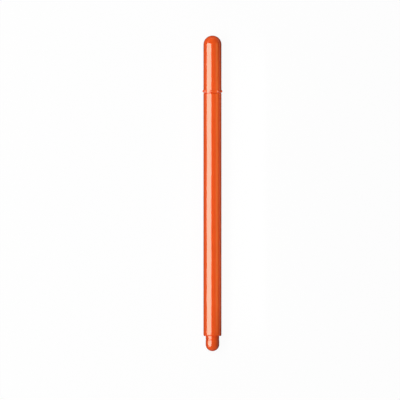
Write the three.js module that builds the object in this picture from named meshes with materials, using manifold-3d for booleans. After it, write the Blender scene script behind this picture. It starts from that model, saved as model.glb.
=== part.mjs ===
// Felt-tip pen with a push-on cap, lying along +Y with the cap in front.
// Sizes are in millimetres. A profile is a list of [radius, place] points that is
// turned about the pen's axis, where place is measured from the tip of the tail.

import * as THREE from 'three';
import { mergeVertices } from 'three/addons/utils/BufferGeometryUtils.js';
import Module from 'manifold-3d';

// Fits, all on the radius
const PRESS_GAP = 0.03;
const FILM_GAP = 0.02;
const BEAD_GAP = 0.02;
const RIB_GAP = 0.05;

// Felt nib
const NIB_DIAMETER = 2.1;
const NIB_SHOWN = 3.6;
const NIB_POINT_RADIUS = 0.2;
const NIB_IN_RESERVOIR = 5;

// Nib holder: a nose, a domed flange that sits on the neck, and a spigot in the neck
const NOSE_WALL = 0.81;
const NOSE_LENGTH = 3.5;
const NOSE_ROUND = 0.35;
const FLANGE_HEIGHT = 1.05;
const FLANGE_DOME_ANGLE = 58;
const SPIGOT_WALL = 1.15;
const SPIGOT_LENGTH = 9;
const SPIGOT_CHAMFER = 0.3;

// Barrel with its neck
const BARREL_LENGTH = 123.35;
const BARREL_WALL = 1.12;
const BARREL_EDGE_ROUND = 0.4;
const SHOULDER_EDGE_ROUND = 0.15;
const SHOULDER_THICKNESS = 1.2;
const NECK_LENGTH = 10.5;
const NECK_WALL = 1.19;
const NECK_RIM_SHOWN = 0.52;
const NECK_RIM_ROUND = 0.22;
const SNAP_LENGTH = 2.1;
const SNAP_DEPTH = 0.05;
const SNAP_RAMP = 0.2;
const RIB_COUNT = 4;
const RIB_WIDTH = 0.8;
const RIB_HEIGHT = 0.25;

// Plug that closes the tail
const PLUG_SHOWN = 7.65;
const PLUG_PRESSED = 6;
const PLUG_WALL = 1;
const PLUG_CHAMFER = 0.3;

// Ink reservoir and the film wound round it
const RESERVOIR_END_GAP = 0.4;
const WRAP_THICKNESS = 0.12;

// Cap, its ring of nubs and the sealing cup inside it
const CAP_WALL = 1.05;
const CAP_MOUTH_GAP = 0.03;
const CAP_EDGE_ROUND = 0.2;
const CAP_LEAD_IN = 0.3;
const BEAD_HEIGHT = 0.05;
const NUB_COUNT = 8;
const NUB_WIDTH = 1.35;
const NUB_LENGTH = 1.4;
const NUB_PROUD = 0.48;
const INNER_CAP_WALL = 0.6;
const INNER_CAP_SEAT_GAP = 0.3;
const NIB_ROOM = 8.67;

// Sides of every turned piece: a flat of each one faces the surface it lies on
const SIDES = 40;

// Radii, from the nib outwards
const nibRadius = NIB_DIAMETER / 2;
const holderBore = nibRadius + PRESS_GAP;
const noseRadius = holderBore + NOSE_WALL;
const spigotRadius = holderBore + SPIGOT_WALL;
const neckBore = spigotRadius + PRESS_GAP;
const neckRadius = neckBore + NECK_WALL;
const snapRadius = neckRadius - SNAP_DEPTH;
const flangeRadius = neckRadius - NECK_RIM_SHOWN;
const beadRadius = neckRadius + BEAD_GAP;
const capBore = beadRadius + BEAD_HEIGHT;
const bodyRadius = capBore + CAP_WALL;
const barrelBore = bodyRadius - BARREL_WALL;
const plugRadius = barrelBore - PRESS_GAP;
const plugInside = snapRadius - PLUG_WALL;
const wrapRadius = barrelBore - RIB_HEIGHT - RIB_GAP;
const reservoirRadius = wrapRadius - WRAP_THICKNESS - FILM_GAP;
const nibHoleRadius = nibRadius + PRESS_GAP;
const innerCapRadius = capBore - PRESS_GAP;
const innerCapInside = innerCapRadius - INNER_CAP_WALL;

// Places along the pen, from the tail to the tip of the cap
const barrelStart = PLUG_SHOWN;
const plugFront = barrelStart + PLUG_PRESSED;
const shoulder = barrelStart + BARREL_LENGTH;
const shoulderInside = shoulder - SHOULDER_THICKNESS;
const neckEnd = shoulder + NECK_LENGTH;
const flangeTop = neckEnd + FLANGE_HEIGHT;
const noseEnd = flangeTop + NOSE_LENGTH;
const nibTip = noseEnd + NIB_SHOWN;
const reservoirStart = plugFront + RESERVOIR_END_GAP;
const reservoirEnd = shoulderInside - RESERVOIR_END_GAP;
const nibStart = reservoirEnd - NIB_IN_RESERVOIR;
const capMouth = shoulder + CAP_MOUTH_GAP;
const capDomeCentre = nibTip + NIB_ROOM - innerCapInside;
const penLength = capDomeCentre + bodyRadius;

// The flange's dome, as an arc that meets its flat top at the stated angle
const domeRadius = FLANGE_HEIGHT / Math.sin(THREE.MathUtils.degToRad(FLANGE_DOME_ANGLE));
const domeCentre = flangeRadius - domeRadius;
const sealHeight = Math.sqrt(Math.max(0, domeRadius ** 2 - (innerCapInside - domeCentre) ** 2));
const innerCapRim = neckEnd + sealHeight + INNER_CAP_SEAT_GAP;

const EDGE_STEPS = 3;
const DOME_STEPS = 9;

// Points on an arc in a profile; 0 degrees points away from the axis, 90 to the cap
function arc(radius, place, size, from, to, steps) {
	const points = [];
	for (let i = 0; i <= steps; i++) {
		const angle = THREE.MathUtils.degToRad(from + (to - from) * i / steps);
		points.push([radius + size * Math.cos(angle), place + size * Math.sin(angle)]);
	}
	return points;
}

function turned(profile) {
	const points = profile.map(([radius, place]) => new THREE.Vector2(Math.max(0, radius), place));
	return new THREE.LatheGeometry(points, SIDES, Math.PI / SIDES);
}

function ring(profile) {
	return turned([...profile, profile[0]]);
}

const wasm = await Module();
wasm.setup();

function toSolid(geometry) {
	const bare = geometry.clone();
	bare.deleteAttribute('normal');
	bare.deleteAttribute('uv');
	const merged = mergeVertices(bare, 1e-4);
	const index = merged.index.array;
	const kept = [];
	for (let i = 0; i < index.length; i += 3) {
		const [a, b, c] = index.slice(i, i + 3);
		if (a !== b && b !== c && c !== a) kept.push(a, b, c);
	}
	return new wasm.Manifold(new wasm.Mesh({
		numProp: 3,
		vertProperties: new Float32Array(merged.attributes.position.array),
		triVerts: new Uint32Array(kept),
	}));
}

function toGeometry(solid) {
	const mesh = solid.getMesh();
	const geometry = new THREE.BufferGeometry();
	geometry.setAttribute('position', new THREE.BufferAttribute(mesh.vertProperties, 3));
	geometry.setIndex(new THREE.BufferAttribute(mesh.triVerts, 1));
	geometry.computeVertexNormals();
	return geometry;
}

// A piece joined to equal copies of a detail, spaced evenly round the pen's axis. The top
// and the bottom of the lying pen are between two of them.
function withRingOf(geometry, detail, count) {
	let solid = toSolid(geometry);
	for (let i = 0; i < count; i++) {
		const copy = detail.clone().rotateY(2 * Math.PI * (i + 0.5) / count);
		solid = solid.add(toSolid(copy));
	}
	return toGeometry(solid);
}

function barrelShape() {
	const tube = ring([
		...arc(bodyRadius - BARREL_EDGE_ROUND, barrelStart + BARREL_EDGE_ROUND,
			BARREL_EDGE_ROUND, -90, 0, EDGE_STEPS),
		...arc(bodyRadius - SHOULDER_EDGE_ROUND, shoulder - SHOULDER_EDGE_ROUND,
			SHOULDER_EDGE_ROUND, 0, 90, EDGE_STEPS),
		[snapRadius, shoulder],
		[snapRadius, shoulder + SNAP_LENGTH - SNAP_RAMP],
		[neckRadius, shoulder + SNAP_LENGTH],
		...arc(neckRadius - NECK_RIM_ROUND, neckEnd - NECK_RIM_ROUND,
			NECK_RIM_ROUND, 0, 90, EDGE_STEPS),
		[neckBore, neckEnd],
		[neckBore, shoulderInside],
		[barrelBore, shoulderInside],
		[barrelBore, barrelStart],
	]);
	// Ribs that hold the reservoir off the wall, so that air can pass along it
	const ribRoot = BARREL_WALL / 3;
	const ribStart = reservoirStart;
	const ribEnd = shoulderInside + SHOULDER_THICKNESS / 2;
	const rib = new THREE.BoxGeometry(RIB_WIDTH, ribEnd - ribStart, RIB_HEIGHT + ribRoot);
	rib.translate(0, (ribStart + ribEnd) / 2, barrelBore + (ribRoot - RIB_HEIGHT) / 2);
	return withRingOf(tube, rib, RIB_COUNT);
}

function endPlugShape() {
	const snapStart = barrelStart - SNAP_LENGTH;
	return turned([
		...arc(0, neckRadius, neckRadius, -90, 0, DOME_STEPS),
		[neckRadius, snapStart],
		[snapRadius, snapStart + SNAP_RAMP],
		[snapRadius, barrelStart],
		[plugRadius, barrelStart],
		[plugRadius, plugFront - PLUG_CHAMFER],
		[plugRadius - PLUG_CHAMFER, plugFront],
		[plugInside, plugFront],
		...arc(0, neckRadius, plugInside, 0, -90, DOME_STEPS),
	]);
}

function reservoirShape() {
	return turned([
		[0, reservoirStart],
		[reservoirRadius, reservoirStart],
		[reservoirRadius, reservoirEnd],
		[nibHoleRadius, reservoirEnd],
		[nibHoleRadius, nibStart - PRESS_GAP],
		[0, nibStart - PRESS_GAP],
	]);
}

function wrapShape() {
	return ring([
		[wrapRadius, reservoirStart],
		[wrapRadius, reservoirEnd],
		[wrapRadius - WRAP_THICKNESS, reservoirEnd],
		[wrapRadius - WRAP_THICKNESS, reservoirStart],
	]);
}

function nibShape() {
	const taper = [];
	const taperLength = NIB_SHOWN - NIB_POINT_RADIUS;
	for (let i = 0; i < DOME_STEPS; i++) {
		const share = i / DOME_STEPS;
		const narrowing = (nibRadius - NIB_POINT_RADIUS) * share ** 2;
		taper.push([nibRadius - narrowing, noseEnd + taperLength * share]);
	}
	return turned([
		[0, nibStart],
		[nibRadius, nibStart],
		...taper,
		...arc(0, nibTip - NIB_POINT_RADIUS, NIB_POINT_RADIUS, 0, 90, EDGE_STEPS),
	]);
}

function nibHolderShape() {
	const spigotEnd = neckEnd - SPIGOT_LENGTH;
	return ring([
		[holderBore, spigotEnd],
		[spigotRadius - SPIGOT_CHAMFER, spigotEnd],
		[spigotRadius, spigotEnd + SPIGOT_CHAMFER],
		[spigotRadius, neckEnd],
		...arc(domeCentre, neckEnd, domeRadius, 0, FLANGE_DOME_ANGLE, 2 * EDGE_STEPS),
		[noseRadius, flangeTop],
		...arc(noseRadius - NOSE_ROUND, noseEnd - NOSE_ROUND, NOSE_ROUND, 0, 90, EDGE_STEPS),
		[holderBore, noseEnd],
	]);
}

function capShape() {
	const beadMiddle = shoulder + SNAP_LENGTH / 2;
	const shell = turned([
		...arc(0, capDomeCentre, capBore, 90, 0, DOME_STEPS),
		[capBore, beadMiddle + BEAD_HEIGHT + SNAP_RAMP],
		[beadRadius, beadMiddle + SNAP_RAMP],
		[beadRadius, beadMiddle - SNAP_RAMP],
		[capBore, beadMiddle - BEAD_HEIGHT - SNAP_RAMP],
		[capBore, capMouth + CAP_LEAD_IN],
		[capBore + CAP_LEAD_IN, capMouth],
		...arc(bodyRadius - CAP_EDGE_ROUND, capMouth + CAP_EDGE_ROUND,
			CAP_EDGE_ROUND, -90, 0, EDGE_STEPS),
		...arc(0, capDomeCentre, bodyRadius, 0, 90, DOME_STEPS),
	]);
	const nubRoot = CAP_WALL / 3;
	const nubProfile = arc(0, 0, 1, 0, 90, 4).map(([radius, place]) => new THREE.Vector2(radius, place));
	const nub = new THREE.LatheGeometry([new THREE.Vector2(0, 0), ...nubProfile], 12);
	nub.scale(NUB_WIDTH / 2, nubRoot + NUB_PROUD, NUB_LENGTH / 2);
	nub.rotateX(Math.PI / 2);
	nub.translate(0, capMouth + NUB_LENGTH / 2, bodyRadius - nubRoot);
	return withRingOf(shell, nub, NUB_COUNT);
}

function innerCapShape() {
	return turned([
		...arc(0, capDomeCentre, innerCapInside, 90, 0, DOME_STEPS),
		[innerCapInside, innerCapRim],
		[innerCapRadius, innerCapRim],
		...arc(0, capDomeCentre, innerCapRadius, 0, 90, DOME_STEPS),
	]);
}

const ORANGE = 0xeb5823;

function piece(name, geometry, color, roughness) {
	const material = new THREE.MeshStandardMaterial({ color, roughness, metalness: 0 });
	const mesh = new THREE.Mesh(geometry, material);
	mesh.name = name;
	return mesh;
}

const group = new THREE.Group();
group.add(
	piece('barrel', barrelShape(), ORANGE, 0.25),
	piece('end_plug', endPlugShape(), ORANGE, 0.25),
	piece('ink_reservoir', reservoirShape(), 0xe8a080, 0.95),
	piece('reservoir_wrap', wrapShape(), 0xf2f0ea, 0.4),
	piece('nib_holder', nibHolderShape(), 0x141414, 0.35),
	piece('nib', nibShape(), 0xd8d0ce, 0.7),
	piece('cap', capShape(), ORANGE, 0.25),
	piece('inner_cap', innerCapShape(), 0xefeae2, 0.5),
);

// The pen lies on its side: its middle is over the origin and its lowest point is at zero
group.position.set(0, -penLength / 2, 0);
const lowest = new THREE.Box3().setFromObject(group, true).min.z;
group.position.z = -lowest;

export default group;
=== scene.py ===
"""A felt-tip pen with its cap on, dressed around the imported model, lying on a white floor."""

import math

import bmesh
import bpy
from mathutils import Matrix, Vector


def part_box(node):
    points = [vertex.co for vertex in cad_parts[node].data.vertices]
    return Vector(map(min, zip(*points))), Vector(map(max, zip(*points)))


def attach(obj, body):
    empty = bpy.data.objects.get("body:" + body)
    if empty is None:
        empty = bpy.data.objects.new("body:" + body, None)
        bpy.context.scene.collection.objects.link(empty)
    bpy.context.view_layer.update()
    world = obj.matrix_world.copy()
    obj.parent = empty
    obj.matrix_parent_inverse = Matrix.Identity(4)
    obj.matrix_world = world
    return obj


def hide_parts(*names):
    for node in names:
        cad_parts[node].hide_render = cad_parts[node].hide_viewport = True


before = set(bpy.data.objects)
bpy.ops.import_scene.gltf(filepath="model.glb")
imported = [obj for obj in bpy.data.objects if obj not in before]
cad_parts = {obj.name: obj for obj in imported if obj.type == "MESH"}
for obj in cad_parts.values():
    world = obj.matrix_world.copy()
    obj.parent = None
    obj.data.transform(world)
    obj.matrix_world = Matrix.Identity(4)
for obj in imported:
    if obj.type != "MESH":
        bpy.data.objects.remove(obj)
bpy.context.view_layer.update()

# Barrel
# The moulded tube that the hand holds, in glossy orange polypropylene. Its neck, which
# takes the cap, is moulded in one with it, and four low ribs inside carry the reservoir.
MM = 0.001
TURN_STEPS = 144
ROUND_STEPS = 5
ROUND_STEP_EVERY = 0.2 * MM
SUPPORT = 0.05 * MM
NEAR = 0.01 * MM

tail_rim, neck_end = (corner.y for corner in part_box("barrel"))
AXIS_HEIGHT = (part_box("barrel")[0].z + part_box("barrel")[1].z) / 2
CAP_MOUTH_GAP = 0.03 * MM
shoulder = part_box("cap")[0].y - CAP_MOUTH_GAP
BODY_RADIUS = 4.57 * MM
BARREL_BORE = 3.45 * MM
NECK_RADIUS = 3.45 * MM
NECK_BORE = 2.26 * MM
SNAP_RADIUS = 3.4 * MM
SNAP_LENGTH = 2.0 * MM
SNAP_GROOVE = 0.19 * MM
SNAP_GROOVE_DEPTH = 0.14 * MM
SHOULDER_CHAMFER = 0.36 * MM
SHOULDER_CHAMFER_DEPTH = 0.45 * MM
RIM_CHAMFER = 0.6 * MM
RIM_CHAMFER_DEPTH = 0.26 * MM
RIM_ROUND = 0.08 * MM
RIM_CHAMFER_ROUND = 0.1 * MM
CRISP_ROUND = 0.05 * MM
GROOVE_ROUND = 0.04 * MM
GROOVE_EDGE_ROUND = 0.03 * MM
NECK_END_ROUND = 0.22 * MM
SHOULDER_THICKNESS = 1.2 * MM
RIB_COUNT = 4
RIB_WIDTH = 0.8 * MM
RIB_HEIGHT = 0.25 * MM
RIB_LEAD_IN = 0.3 * MM
ORANGE = (0.83, 0.093, 0.014)
ORANGE_DEEPER = 0.94
PLASTIC_IOR = 1.49
NOISE_LOW, NOISE_HIGH = 0.3, 0.7


def turned(corners, closed=False, steps=TURN_STEPS):
    """A mesh turned about the pen's axis from corners of (radius, place, rounding).

    Each straight stretch gets a ring close to both its ends, so that it shades evenly.
    """
    bm = bmesh.new()
    outline = [bm.verts.new((radius, place, 0)) for radius, place, rounding in corners]
    ends = outline[1:] + outline[:1] if closed else outline[1:]
    for near, far in zip(outline, ends):
        bm.edges.new((near, far))
    for vertex, (radius, place, rounding) in zip(outline, corners):
        if rounding:
            bmesh.ops.bevel(bm, geom=[vertex], offset=rounding, offset_type="OFFSET",
                            segments=ROUND_STEPS + round(rounding / ROUND_STEP_EVERY), profile=0.5,
                            affect="VERTICES", clamp_overlap=False, material=-1)
    bmesh.ops.remove_doubles(bm, verts=bm.verts, dist=1e-7)
    for edge in bm.edges[:]:
        near, far = edge.verts
        if edge.calc_length() > 6 * SUPPORT:
            beside = bmesh.utils.edge_split(edge, near, SUPPORT / edge.calc_length())[1]
            rest = next(part for part in beside.link_edges if far in part.verts)
            bmesh.utils.edge_split(rest, far, SUPPORT / rest.calc_length())
    return spun(bm, steps)


def spun(bm, steps):
    """The outline in bm, swept once round the pen's axis, with its faces pointing out."""
    bmesh.ops.spin(bm, geom=bm.verts[:] + bm.edges[:], cent=(0, 0, 0), axis=(0, 1, 0),
                   dvec=(0, 0, 0), angle=math.tau, steps=steps, use_merge=True)
    bmesh.ops.remove_doubles(bm, verts=bm.verts, dist=1e-7)
    bmesh.ops.recalc_face_normals(bm, faces=bm.faces)
    return bm


def finished(name, bm, material, body, node):
    bmesh.ops.translate(bm, verts=bm.verts, vec=(0, 0, AXIS_HEIGHT))
    mesh = bpy.data.meshes.new(name)
    bm.to_mesh(mesh)
    bm.free()
    mesh.shade_smooth()
    mesh.materials.append(material)
    piece = bpy.data.objects.new(name, mesh)
    bpy.context.scene.collection.objects.link(piece)
    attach(piece, body)
    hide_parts(node)


def new_material(name):
    """A material with its node tree, its surface shader and its pattern coordinates."""
    material = bpy.data.materials.new(name)
    material.use_nodes = True
    tree = material.node_tree
    surface = tree.nodes["Principled BSDF"]
    place = tree.nodes.new("ShaderNodeTexCoord").outputs["Object"]
    return material, tree, surface, place


def noise(tree, place, scale, detail, stretch=(1, 1, 1)):
    """The value of a noise pattern on the piece, scale per metre, drawn out by stretch."""
    mapping = tree.nodes.new("ShaderNodeMapping")
    mapping.inputs["Scale"].default_value = stretch
    tree.links.new(place, mapping.inputs["Vector"])
    texture = tree.nodes.new("ShaderNodeTexNoise")
    texture.inputs["Scale"].default_value = scale
    texture.inputs["Detail"].default_value = detail
    tree.links.new(mapping.outputs["Vector"], texture.inputs["Vector"])
    return texture.outputs["Fac"]


def between(tree, value, low, high):
    """The value, which runs from 0 to 1, spread between low and high."""
    spread = tree.nodes.new("ShaderNodeMapRange")
    spread.inputs["From Min"].default_value = NOISE_LOW
    spread.inputs["From Max"].default_value = NOISE_HIGH
    spread.inputs["To Min"].default_value = low
    spread.inputs["To Max"].default_value = high
    tree.links.new(value, spread.inputs["Value"])
    return spread.outputs["Result"]


def two_tone(tree, value, first, second):
    """A colour between two, by the value."""
    mix = tree.nodes.new("ShaderNodeMix")
    mix.data_type = "RGBA"
    mix.inputs["A"].default_value = (*first, 1)
    mix.inputs["B"].default_value = (*second, 1)
    tree.links.new(value, mix.inputs["Factor"])
    return mix.outputs["Result"]


def bumps(tree, surface, value, height, strength):
    """Relief of the given height in metres, from the value."""
    bump = tree.nodes.new("ShaderNodeBump")
    bump.inputs["Distance"].default_value = height
    bump.inputs["Strength"].default_value = strength
    tree.links.new(value, bump.inputs["Height"])
    tree.links.new(bump.outputs["Normal"], surface.inputs["Normal"])


def moulded_gloss(name, colour):
    """Glossy pigmented polypropylene: faint flow clouds, fine rubbing marks along the pen."""
    material, tree, surface, place = new_material(name)
    flow = noise(tree, place, 60, 3, stretch=(1, 0.25, 1))
    deeper = tuple(ORANGE_DEEPER * channel for channel in colour)
    tree.links.new(two_tone(tree, between(tree, flow, 0, 1), deeper, colour),
                   surface.inputs["Base Color"])
    rubbing = noise(tree, place, 5200, 4, stretch=(1, 0.1, 1))
    tree.links.new(between(tree, rubbing, 0.065, 0.09), surface.inputs["Roughness"])
    surface.inputs["IOR"].default_value = PLASTIC_IOR
    bumps(tree, surface, rubbing, 0.001 * MM, 0.03)
    return material


def with_ribs(bm, start, end):
    """The barrel's bore with its ribs raised out of the wall between two places."""
    for vertex in bm.verts:
        radius = math.hypot(vertex.co.x, vertex.co.z)
        on_bore = abs(radius - BARREL_BORE) < NEAR
        if not on_bore or not start <= vertex.co.y <= end:
            continue
        turn = math.atan2(vertex.co.x, vertex.co.z) * RIB_COUNT / math.tau
        across = abs(turn - round(turn)) * math.tau / RIB_COUNT * BARREL_BORE
        if across < RIB_WIDTH / 2:
            inner = 1 - RIB_HEIGHT / radius
            vertex.co.x *= inner
            vertex.co.z *= inner
    return bm


plug_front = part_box("end_plug")[1].y
rib_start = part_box("ink_reservoir")[0].y
shoulder_inside = shoulder - SHOULDER_THICKNESS
snap_edge = shoulder + SNAP_LENGTH
barrel = turned([
    (BODY_RADIUS - RIM_CHAMFER_DEPTH, tail_rim, RIM_ROUND),
    (BODY_RADIUS, tail_rim + RIM_CHAMFER, RIM_CHAMFER_ROUND),
    (BODY_RADIUS, shoulder - SHOULDER_CHAMFER, CRISP_ROUND),
    (BODY_RADIUS - SHOULDER_CHAMFER_DEPTH, shoulder, CRISP_ROUND),
    (SNAP_RADIUS, shoulder, CRISP_ROUND),
    (SNAP_RADIUS, snap_edge - SNAP_GROOVE, 0),
    (SNAP_RADIUS - SNAP_GROOVE_DEPTH, snap_edge, GROOVE_ROUND),
    (NECK_RADIUS, snap_edge + SNAP_GROOVE, GROOVE_EDGE_ROUND),
    (NECK_RADIUS, neck_end, NECK_END_ROUND),
    (NECK_BORE, neck_end, 0),
    (NECK_BORE, shoulder_inside, 0),
    (BARREL_BORE, shoulder_inside, 0),
    (BARREL_BORE, shoulder_inside - RIB_LEAD_IN, 0),
    (BARREL_BORE, rib_start, 0),
    (BARREL_BORE, rib_start - RIB_LEAD_IN, 0),
    (BARREL_BORE, tail_rim, 0),
], closed=True)
with_ribs(barrel, rib_start, shoulder_inside - RIB_LEAD_IN)
finished("barrel_tube", barrel, moulded_gloss("barrel_orange", ORANGE), "pen", "barrel")

# Ink reservoir
# A rod of bonded polyester fibre that fills the barrel and holds the ink. The nib's tail
# is pushed into a hole in its front end.
RESERVOIR_RADIUS = 3.01 * MM
NIB_HOLE_RADIUS = 1.08 * MM
ROD_ROUND = 0.15 * MM
HOLE_ROUND = 0.1 * MM
INK_WET = (0.62, 0.1, 0.02)
INK_PALE = (0.86, 0.33, 0.14)
FIBRE_HEIGHT = 0.02 * MM
ROD_STEPS = 72

reservoir_start, reservoir_end = (corner.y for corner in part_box("ink_reservoir"))
nib_start, nib_tip = (corner.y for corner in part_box("nib"))


def bonded_fibre(name, ink_and_shade, pale, roughness):
    """Fibres that run along the pen, as streaks of two shades with a fuzzy relief."""
    material, tree, surface, place = new_material(name)
    fibres = noise(tree, place, 5200, 5, stretch=(1, 0.02, 1))
    tree.links.new(two_tone(tree, between(tree, fibres, 0, 1), ink_and_shade, pale),
                   surface.inputs["Base Color"])
    surface.inputs["Roughness"].default_value = roughness
    bumps(tree, surface, fibres, FIBRE_HEIGHT, 0.6)
    return material


reservoir = turned([
    (0, reservoir_start, 0),
    (RESERVOIR_RADIUS, reservoir_start, ROD_ROUND),
    (RESERVOIR_RADIUS, reservoir_end, ROD_ROUND),
    (NIB_HOLE_RADIUS, reservoir_end, HOLE_ROUND),
    (NIB_HOLE_RADIUS, nib_start, 0),
    (0, nib_start, 0),
], steps=ROD_STEPS)
finished("ink_rod", reservoir, bonded_fibre("ink_fibre", INK_WET, INK_PALE, 0.9),
         "pen", "ink_reservoir")

# Reservoir wrap
# Clear film wound tightly round the fibre rod, which keeps the ink off the barrel's wall.
# Its haze varies in faint cloudy streaks along the rod.
WRAP_RADIUS = 3.15 * MM
FILM_THICKNESS = 0.12 * MM
FILM = (0.9, 0.89, 0.86)
FILM_CLOUDY = (0.81, 0.801, 0.774)

film_material, tree, surface, place = new_material("clear_film")
haze = noise(tree, place, 400, 3, stretch=(1, 0.2, 1))
tree.links.new(two_tone(tree, between(tree, haze, 0, 1), FILM, FILM_CLOUDY),
               surface.inputs["Base Color"])
tree.links.new(between(tree, haze, 0.12, 0.3), surface.inputs["Roughness"])
surface.inputs["Transmission Weight"].default_value = 0.6
surface.inputs["IOR"].default_value = 1.5
wrap = turned([
    (WRAP_RADIUS, reservoir_start, 0),
    (WRAP_RADIUS, reservoir_end, 0),
    (WRAP_RADIUS - FILM_THICKNESS, reservoir_end, 0),
    (WRAP_RADIUS - FILM_THICKNESS, reservoir_start, 0),
], closed=True, steps=ROD_STEPS)
finished("film_wrap", wrap, film_material, "pen", "reservoir_wrap")

# Nib holder
# The black plastic nose that guides the nib. Its domed flange sits on the end of the
# neck, and its spigot is pressed into the neck's bore.
NOSE_RADIUS = 1.89 * MM
NOSE_ROUND = 0.35 * MM
NOSE_FOOT_ROUND = 0.12 * MM
NOSE_HOLE_ROUND = 0.08 * MM
HOLDER_BORE = 1.08 * MM
SPIGOT_RADIUS = 2.23 * MM
SPIGOT_CHAMFER = 0.3 * MM
FLANGE_RADIUS = 2.93 * MM
FLANGE_HEIGHT = 1.05 * MM
FLANGE_DOME_ANGLE = math.radians(58)
FLANGE_DOME_STEPS = 10
BLACK = (0.002, 0.002, 0.002)
BLACK_RUBBED = (0.006, 0.006, 0.006)

spigot_end, nose_end = (corner.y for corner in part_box("nib_holder"))
flange_top = neck_end + FLANGE_HEIGHT
dome_radius = FLANGE_HEIGHT / math.sin(FLANGE_DOME_ANGLE)
dome_turns = [FLANGE_DOME_ANGLE * i / FLANGE_DOME_STEPS for i in range(FLANGE_DOME_STEPS + 1)]
flange_dome = [
    (FLANGE_RADIUS - dome_radius * (1 - math.cos(turn)), neck_end + dome_radius * math.sin(turn), 0)
    for turn in dome_turns
]
black_material, tree, surface, place = new_material("holder_black")
rubbed = noise(tree, place, 900, 4)
tree.links.new(two_tone(tree, between(tree, rubbed, 0, 1), BLACK, BLACK_RUBBED),
               surface.inputs["Base Color"])
tree.links.new(between(tree, rubbed, 0.16, 0.24), surface.inputs["Roughness"])
surface.inputs["IOR"].default_value = PLASTIC_IOR
surface.inputs["Specular IOR Level"].default_value = 0.22
bumps(tree, surface, rubbed, 0.003 * MM, 0.3)
holder = turned([
    (HOLDER_BORE, spigot_end, 0),
    (SPIGOT_RADIUS, spigot_end, SPIGOT_CHAMFER),
    (SPIGOT_RADIUS, neck_end, 0),
    *flange_dome,
    (NOSE_RADIUS, flange_top, NOSE_FOOT_ROUND),
    (NOSE_RADIUS, nose_end, NOSE_ROUND),
    (HOLDER_BORE, nose_end, NOSE_HOLE_ROUND),
], closed=True)
finished("black_nose", holder, black_material, "pen", "nib_holder")

# Nib
# A rod of bonded fibre, ground to a rounded point and pale where the ink hasn't reached
# its surface. The writing point is dark with ink. Streaks of a darker, shaded copy of the
# pale colour run through it: painted shade.
NIB_RADIUS = 1.05 * MM
NIB_POINT_RADIUS = 0.2 * MM
NIB_TAIL_ROUND = 0.2 * MM
NIB_TAPER_STEPS = 14
NIB_PALE = (0.72, 0.66, 0.66)
# NIB_SHADED is painted shade, a darker copy of the pale fibre colour.
NIB_SHADED = (0.46, 0.41, 0.41)
NIB_INKED = (0.02, 0.012, 0.012)
INKED_LENGTH = 1.9 * MM

taper_length = nib_tip - nose_end - NIB_POINT_RADIUS
nib_taper = [
    (NIB_RADIUS - (NIB_RADIUS - NIB_POINT_RADIUS) * (i / NIB_TAPER_STEPS) ** 2,
     nose_end + taper_length * i / NIB_TAPER_STEPS, 0)
    for i in range(NIB_TAPER_STEPS)
]
# The nib's streaks mix its pale colour with the shaded copy, as painted shade.
nib_material = bonded_fibre("nib_fibre", NIB_SHADED, NIB_PALE, 0.45)
tree = nib_material.node_tree
surface = tree.nodes["Principled BSDF"]
dry_and_shade = surface.inputs["Base Color"].links[0].from_socket
along = tree.nodes.new("ShaderNodeSeparateXYZ")
coordinates = next(node for node in tree.nodes if node.type == "TEX_COORD")
tree.links.new(coordinates.outputs["Object"], along.inputs["Vector"])
inked = tree.nodes.new("ShaderNodeMapRange")
inked.interpolation_type = "SMOOTHSTEP"
inked.inputs["From Min"].default_value = nib_tip - INKED_LENGTH
inked.inputs["From Max"].default_value = nib_tip - INKED_LENGTH / 4
tree.links.new(along.outputs["Y"], inked.inputs["Value"])
nib_colour = tree.nodes.new("ShaderNodeMix")
nib_colour.data_type = "RGBA"
nib_colour.inputs["B"].default_value = (*NIB_INKED, 1)
tree.links.new(inked.outputs["Result"], nib_colour.inputs["Factor"])
tree.links.new(dry_and_shade, nib_colour.inputs["A"])
tree.links.new(nib_colour.outputs["Result"], surface.inputs["Base Color"])
nib = turned([
    (0, nib_start, 0),
    (NIB_RADIUS, nib_start, NIB_TAIL_ROUND),
    *nib_taper,
    (NIB_POINT_RADIUS, nib_tip - NIB_POINT_RADIUS, 0),
    (NIB_POINT_RADIUS * 0.75, nib_tip - NIB_POINT_RADIUS * 0.34, 0),
    (NIB_POINT_RADIUS * 0.4, nib_tip - NIB_POINT_RADIUS * 0.08, 0),
    (0, nib_tip, 0),
], steps=ROD_STEPS)
finished("fibre_nib", nib, nib_material, "pen", "nib")

# End plug
# The orange plug that closes the tail, hollow, with a hemispherical end. It is as thick
# as the neck, and has the same snap groove, so that the cap can be posted on it.
PLUG_RADIUS = 3.42 * MM
PLUG_INSIDE = 2.4 * MM
PLUG_CHAMFER = 0.3 * MM

tail_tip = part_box("end_plug")[0].y
plug_snap_edge = tail_rim - SNAP_LENGTH
plug = turned([
    (0, tail_tip, 0),
    (NECK_RADIUS, tail_tip, NECK_RADIUS),
    (NECK_RADIUS, plug_snap_edge - SNAP_GROOVE, GROOVE_EDGE_ROUND),
    (SNAP_RADIUS - SNAP_GROOVE_DEPTH, plug_snap_edge, GROOVE_ROUND),
    (SNAP_RADIUS, plug_snap_edge + SNAP_GROOVE, 0),
    (PLUG_RADIUS, plug_front, PLUG_CHAMFER),
    (PLUG_INSIDE, plug_front, 0),
    (PLUG_INSIDE, tail_tip + NECK_RADIUS - PLUG_INSIDE, PLUG_INSIDE),
    (0, tail_tip + NECK_RADIUS - PLUG_INSIDE, 0),
])
finished("tail_plug", plug, moulded_gloss("plug_orange", ORANGE), "pen", "end_plug")

# Inner cap
# A thin cup of unpigmented polyethylene pressed into the cap. Its rim comes down on the
# holder's dome and keeps the nib from drying out.
INNER_CAP_RADIUS = 3.49 * MM
INNER_CAP_INSIDE = 2.89 * MM
INNER_RIM_ROUND = 0.1 * MM
INNER_CAP_STEPS = 96
NATURAL = (0.8, 0.77, 0.7)
NATURAL_CLOUDY = (0.72, 0.693, 0.63)

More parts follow.
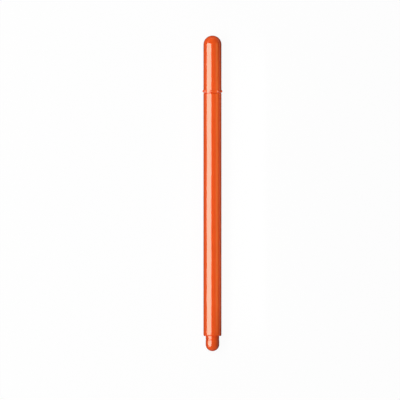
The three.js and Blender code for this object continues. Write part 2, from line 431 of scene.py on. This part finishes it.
inner_rim, inner_end = (corner.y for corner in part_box("inner_cap"))
natural_material, tree, surface, place = new_material("inner_cap_natural")
milky = noise(tree, place, 300, 3)
tree.links.new(two_tone(tree, between(tree, milky, 0, 1), NATURAL, NATURAL_CLOUDY),
               surface.inputs["Base Color"])
tree.links.new(between(tree, milky, 0.35, 0.5), surface.inputs["Roughness"])
surface.inputs["Subsurface Weight"].default_value = 0.1
inner_wall = INNER_CAP_RADIUS - INNER_CAP_INSIDE
inner_cap = turned([
    (0, inner_end - inner_wall, 0),
    (INNER_CAP_INSIDE, inner_end - inner_wall, INNER_CAP_INSIDE),
    (INNER_CAP_INSIDE, inner_rim, INNER_RIM_ROUND),
    (INNER_CAP_RADIUS, inner_rim, INNER_RIM_ROUND),
    (INNER_CAP_RADIUS, inner_end, INNER_CAP_RADIUS),
    (0, inner_end, 0),
], steps=INNER_CAP_STEPS)
finished("sealing_cup", inner_cap, natural_material, "cap", "inner_cap")

# Cap
# The orange cap, as thick as the barrel, with a hemispherical end. Eight small nubs
# moulded round its mouth stop the pen rolling, and a low bead inside snaps on the neck.
CAP_BORE = 3.52 * MM
BEAD_RADIUS = 3.47 * MM
BEAD_HALF = 0.2 * MM
NUB_COUNT = 8
NUB_WIDTH = 1.2 * MM
NUB_LENGTH = 1.4 * MM
NUB_PROUD = 0.48 * MM
NUB_ROOT = 0.35 * MM
NUB_FILLET = 0.01 * MM
NUB_ROWS = 26
NUB_STEPS = 64
MOUTH_ROUND = 0.2 * MM
PARTING_ROUND = 0.15 * MM

cap_mouth, cap_tip = (corner.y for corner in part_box("cap"))
bead = shoulder + SNAP_LENGTH / 2
cap_end_inside = cap_tip - BODY_RADIUS + CAP_BORE
nub_middle = cap_mouth + NUB_LENGTH / 2
nub_zone_end = cap_mouth + NUB_LENGTH + 2 * SUPPORT
wall_middle = (CAP_BORE + BODY_RADIUS) / 2
# What the fillet still lifts where a nub ends
edge_rise = (math.hypot(NUB_ROOT, NUB_FILLET) - NUB_ROOT) / 2


def with_nubs(bm):
    """The cap's outer wall with its nubs raised, rounded across and blunt along the pen.

    The top of the pen lies between two of them.
    """
    for vertex in bm.verts:
        radius = math.hypot(vertex.co.x, vertex.co.z)
        if radius < wall_middle or vertex.co.y > nub_zone_end:
            continue
        turn = math.atan2(vertex.co.x, vertex.co.z) * NUB_COUNT / math.tau - 0.5
        across = (turn - round(turn)) * math.tau / NUB_COUNT * BODY_RADIUS
        along = vertex.co.y - nub_middle
        away = (2 * across / NUB_WIDTH) ** 2 + (2 * along / NUB_LENGTH) ** 4
        dome = BODY_RADIUS - NUB_ROOT + (NUB_ROOT + NUB_PROUD) * math.sqrt(max(0, 1 - away))
        rise = (dome - radius + math.hypot(dome - radius, NUB_FILLET)) / 2
        if away < 1:
            raised = 1 + (rise - edge_rise) / radius
            vertex.co.x *= raised
            vertex.co.z *= raised
    return bm


cap = turned([
    (0, cap_end_inside, 0),
    (CAP_BORE, cap_end_inside, CAP_BORE),
    (CAP_BORE, bead + 2 * BEAD_HALF, 0),
    (BEAD_RADIUS, bead + BEAD_HALF, 0),
    (BEAD_RADIUS, bead - BEAD_HALF, 0),
    (CAP_BORE, bead - 2 * BEAD_HALF, 0),
    (CAP_BORE, cap_mouth, MOUTH_ROUND),
    (BODY_RADIUS, cap_mouth, PARTING_ROUND),
    (BODY_RADIUS, nub_zone_end, 0),
    (BODY_RADIUS, cap_tip, BODY_RADIUS),
    (0, cap_tip, 0),
], steps=NUB_COUNT * NUB_STEPS)
nub_zone = [
    edge for edge in cap.edges
    if all(math.hypot(v.co.x, v.co.z) > BODY_RADIUS - NEAR for v in edge.verts)
    and abs(edge.verts[0].co.y - edge.verts[1].co.y) > 1 * MM
    and all(v.co.y < nub_zone_end + NEAR for v in edge.verts)
]
bmesh.ops.subdivide_edges(cap, edges=nub_zone, cuts=NUB_ROWS, use_grid_fill=True)
with_nubs(cap)
finished("domed_cap", cap, moulded_gloss("cap_orange", ORANGE), "cap", "cap")

# Floor and backdrop
# A plain white floor with a low white wall round it, both part of the studio. What the
# camera and the gloss further off see is white, and the pen's soft shadow stays on it.
# Light that bounces off the floor, and the gloss close to the pen, meet a dim grey floor
# instead, which is painted shade.
FLOOR_RADIUS = 3
WALL_HEIGHT = 0.25
WHITE_SHARE = 0.95
FLOOR_WHITE = (0.93, 0.93, 0.93)
FLOOR_PAINTED_SHADE = (0.15, 0.15, 0.15)
CLOSE_BY = 0.06
FAR_OFF = 0.3

white_material = bpy.data.materials.new("studio_white")
white_material.use_nodes = True
tree = white_material.node_tree
tree.nodes.clear()
seen = tree.nodes.new("ShaderNodeLightPath")
far_off = tree.nodes.new("ShaderNodeMapRange")
far_off.inputs["From Min"].default_value = CLOSE_BY
far_off.inputs["From Max"].default_value = FAR_OFF
tree.links.new(seen.outputs["Ray Length"], far_off.inputs["Value"])
in_gloss = tree.nodes.new("ShaderNodeMath")
in_gloss.operation = "MULTIPLY"
tree.links.new(seen.outputs["Is Glossy Ray"], in_gloss.inputs[0])
tree.links.new(far_off.outputs["Result"], in_gloss.inputs[1])
camera_or_glossy = tree.nodes.new("ShaderNodeMath")
camera_or_glossy.operation = "MAXIMUM"
tree.links.new(seen.outputs["Is Camera Ray"], camera_or_glossy.inputs[0])
tree.links.new(in_gloss.outputs["Value"], camera_or_glossy.inputs[1])
shown = tree.nodes.new("ShaderNodeMath")
shown.operation = "MAXIMUM"
tree.links.new(camera_or_glossy.outputs["Value"], shown.inputs[0])
tree.links.new(seen.outputs["Is Transmission Ray"], shown.inputs[1])
lit_white = tree.nodes.new("ShaderNodeBsdfDiffuse")
lit_white.inputs["Color"].default_value = (*FLOOR_WHITE, 1)
even_white = tree.nodes.new("ShaderNodeEmission")
even_white.inputs["Color"].default_value = (1, 1, 1, 1)
even_white.inputs["Strength"].default_value = 1
shown_white = tree.nodes.new("ShaderNodeMixShader")
shown_white.inputs["Fac"].default_value = WHITE_SHARE
tree.links.new(lit_white.outputs["BSDF"], shown_white.inputs[1])
tree.links.new(even_white.outputs["Emission"], shown_white.inputs[2])
# The dim grey floor is painted shade, seen by bounced light and by the gloss close to the pen.
painted_shade_floor = tree.nodes.new("ShaderNodeBsdfDiffuse")
painted_shade_floor.inputs["Color"].default_value = (*FLOOR_PAINTED_SHADE, 1)
floor_shader = tree.nodes.new("ShaderNodeMixShader")
tree.links.new(shown.outputs["Value"], floor_shader.inputs["Fac"])
tree.links.new(painted_shade_floor.outputs["BSDF"], floor_shader.inputs[1])
tree.links.new(shown_white.outputs["Shader"], floor_shader.inputs[2])
material_output = tree.nodes.new("ShaderNodeOutputMaterial")
tree.links.new(floor_shader.outputs["Shader"], material_output.inputs["Surface"])

floor_mesh = bmesh.new()
bmesh.ops.create_circle(floor_mesh, cap_ends=True, radius=FLOOR_RADIUS, segments=96)
rim = [edge for edge in floor_mesh.edges if edge.is_boundary]
wall = bmesh.ops.extrude_edge_only(floor_mesh, edges=rim)
wall_top = [element for element in wall["geom"] if isinstance(element, bmesh.types.BMVert)]
bmesh.ops.translate(floor_mesh, verts=wall_top, vec=(0, 0, WALL_HEIGHT))
studio_mesh = bpy.data.meshes.new("studio_floor")
floor_mesh.to_mesh(studio_mesh)
floor_mesh.free()
studio_mesh.materials.append(white_material)
studio_floor = bpy.data.objects.new("studio_floor", studio_mesh)
bpy.context.scene.collection.objects.link(studio_floor)

# Camera
# It looks straight at the pen's side, rolled round the pen so that the nubs show where
# the photograph has them, with no perspective, as from a long lens.
PHOTO_SIDE_PX = 400
PEN_AXIS_PX = 212.46
PEN_TOP_PX = 35.56
PEN_BOTTOM_PX = 351.12
CAMERA_ROLL = math.radians(-13.6)
CAMERA_DISTANCE = 0.6

pixel = (cap_tip - tail_tip) / (PEN_BOTTOM_PX - PEN_TOP_PX)
to_right = Vector((math.cos(CAMERA_ROLL), 0, -math.sin(CAMERA_ROLL)))
to_camera = Vector((math.sin(CAMERA_ROLL), 0, math.cos(CAMERA_ROLL)))
to_top = Vector((0, 1, 0))
pen_middle = Vector((0, (cap_tip + tail_tip) / 2, AXIS_HEIGHT))
aside = (PHOTO_SIDE_PX / 2 - PEN_AXIS_PX) * pixel
below = ((PEN_TOP_PX + PEN_BOTTOM_PX) / 2 - PHOTO_SIDE_PX / 2) * pixel
view_centre = pen_middle + to_right * aside + to_top * below
camera_data = bpy.data.cameras.new("camera")
camera_data.type = "ORTHO"
camera_data.ortho_scale = PHOTO_SIDE_PX * pixel
camera_data.clip_start = 0.01
camera_data.clip_end = 10
camera = bpy.data.objects.new("camera", camera_data)
camera.matrix_world = Matrix.Translation(view_centre + to_camera * CAMERA_DISTANCE) @ Matrix(
    (to_right, to_top, to_camera)).transposed().to_4x4()
bpy.context.scene.collection.objects.link(camera)
bpy.context.scene.camera = camera

# Lights
# A long glowing card at the left makes the crisp pale band along the pen, and a warm narrow
# one at the right the weaker gleam. A long softbox above, a low one beyond each end and two
# rows of slim lamps close beside the barrel and cap light the colour.
CARD_DISTANCE = 0.5
CARD_STEPS = 64
BAND_FROM, BAND_TO = math.radians(-85.5), math.radians(-14.5)
BAND_BEHIND, BAND_AHEAD = 0.31, 0.17
BAND_TAIL_ROUND, BAND_FRONT_ROUND = 0.3, 0.16
BAND_BRIGHTNESS = 11.5
BAND_COLOUR = (1, 0.98, 0.82)
GLEAM_ANGLE = math.radians(58)
GLEAM_WIDTH = 0.2
GLEAM_ROUND = 0.03
GLEAM_BRIGHTNESS = 2.1
GLEAM_COLOUR = (1, 0.8, 0.2)
KEY_ANGLE = math.radians(-27)
KEY_DISTANCE = 0.9
KEY_WIDTH, KEY_LENGTH = 0.25, 1
KEY_WATTS = 7.7
END_ANGLE = math.radians(-40)
END_TILT = math.radians(74)
END_SIZE = 0.25
FRONT_WATTS = 3.6
TAIL_WATTS = 2.8
STRIP_PARTS = 10
STRIP_ANGLE = math.radians(42)
STRIP_DISTANCE = 0.0225
STRIP_WIDTH = 0.004
STRIP_WATTS = 0.0055
FILL_ANGLE = math.radians(98)
FILL_DISTANCE = 0.03
FILL_WIDTH = 0.006
FILL_WATTS = 0.0047
SKY_LIGHT = 0.04


def facing_pen(angle, tilt, distance, along):
    """The place of a lamp that faces the pen, turned round it by angle and along it by tilt."""
    sideways = to_camera * math.cos(angle) + to_right * math.sin(angle)
    back = sideways * math.cos(tilt) + to_top * math.sin(tilt)
    across = to_top.cross(sideways)
    place = pen_middle + back * distance + to_top * along
    return Matrix.Translation(place) @ Matrix((across, back.cross(across), back)).transposed().to_4x4()


def lit_card(name, angle, width, length, along, tail_round, front_round, brightness, colour):
    """A glowing card with half an ellipse at its two ends, which shows in the gloss alone."""
    glow = bpy.data.materials.new(name)
    glow.use_nodes = True
    glow.cycles.emission_sampling = "NONE"
    tree = glow.node_tree
    tree.nodes.clear()
    emission = tree.nodes.new("ShaderNodeEmission")
    emission.inputs["Color"].default_value = (*colour, 1)
    emission.inputs["Strength"].default_value = brightness
    output = tree.nodes.new("ShaderNodeOutputMaterial")
    tree.links.new(emission.outputs["Emission"], output.inputs["Surface"])
    bm = bmesh.new()
    bmesh.ops.create_circle(bm, cap_ends=True, radius=1, segments=CARD_STEPS)
    for vertex in bm.verts:
        vertex.co.x *= width / 2
        if vertex.co.y > 0:
            vertex.co.y = length / 2 - front_round * (1 - vertex.co.y)
        else:
            vertex.co.y = tail_round * (1 + vertex.co.y) - length / 2
    mesh = bpy.data.meshes.new(name)
    bm.to_mesh(mesh)
    bm.free()
    mesh.materials.append(glow)
    card = bpy.data.objects.new(name, mesh)
    card.matrix_world = facing_pen(angle, 0, CARD_DISTANCE, along)
    card.visible_camera = False
    card.visible_diffuse = False
    card.visible_shadow = False
    bpy.context.scene.collection.objects.link(card)


def softbox(name, angle, tilt, distance, width, length, along, watts):
    """A white lamp that lights the colour and doesn't show in the gloss."""
    data = bpy.data.lights.new(name, "AREA")
    data.shape = "RECTANGLE"
    data.size, data.size_y = width, length
    data.energy = watts
    lamp = bpy.data.objects.new(name, data)
    lamp.matrix_world = facing_pen(angle, tilt, distance, along)
    lamp.visible_camera = False
    lamp.visible_glossy = False
    bpy.context.scene.collection.objects.link(lamp)


half_pen = (cap_tip - tail_tip) / 2
lit_card("band_card", (BAND_FROM + BAND_TO) / 2, 2 * CARD_DISTANCE * math.tan((BAND_TO - BAND_FROM) / 2),
         2 * half_pen + BAND_BEHIND + BAND_AHEAD, (BAND_AHEAD - BAND_BEHIND) / 2,
         BAND_TAIL_ROUND, BAND_FRONT_ROUND, BAND_BRIGHTNESS, BAND_COLOUR)
gleam_length = cap_tip - tail_rim + BAND_AHEAD
lit_card("gleam_card", GLEAM_ANGLE, GLEAM_WIDTH, gleam_length,
         half_pen + BAND_AHEAD - gleam_length / 2,
         GLEAM_ROUND, GLEAM_ROUND, GLEAM_BRIGHTNESS, GLEAM_COLOUR)
softbox("key_softbox", KEY_ANGLE, 0, KEY_DISTANCE, KEY_WIDTH, KEY_LENGTH, 0, KEY_WATTS)
softbox("front_softbox", END_ANGLE, END_TILT, KEY_DISTANCE, END_SIZE, END_SIZE, 0, FRONT_WATTS)
softbox("tail_softbox", END_ANGLE, -END_TILT, KEY_DISTANCE, END_SIZE, END_SIZE, 0, TAIL_WATTS)
strip_end = cap_tip - BODY_RADIUS
strip_part = (strip_end - tail_rim) / STRIP_PARTS
for i in range(STRIP_PARTS):
    part_middle = tail_rim + (i + 0.5) * strip_part - pen_middle.y
    softbox(f"side_strip_{i + 1}", STRIP_ANGLE, 0, STRIP_DISTANCE, STRIP_WIDTH, strip_part,
            part_middle, STRIP_WATTS / STRIP_PARTS)
    softbox(f"fill_strip_{i + 1}", FILL_ANGLE, 0, FILL_DISTANCE, FILL_WIDTH, strip_part,
            part_middle, FILL_WATTS / STRIP_PARTS)

world = bpy.data.worlds.new("studio")
world.use_nodes = True
tree = world.node_tree
seen = tree.nodes.new("ShaderNodeLightPath")
sky = tree.nodes.new("ShaderNodeMapRange")
sky.inputs["To Min"].default_value = SKY_LIGHT
sky.inputs["To Max"].default_value = 1
tree.links.new(seen.outputs["Is Camera Ray"], sky.inputs["Value"])
tree.nodes["Background"].inputs["Color"].default_value = (1, 1, 1, 1)
tree.links.new(sky.outputs["Result"], tree.nodes["Background"].inputs["Strength"])
bpy.context.scene.world = world
bpy.context.scene.view_settings.view_transform = "Standard"
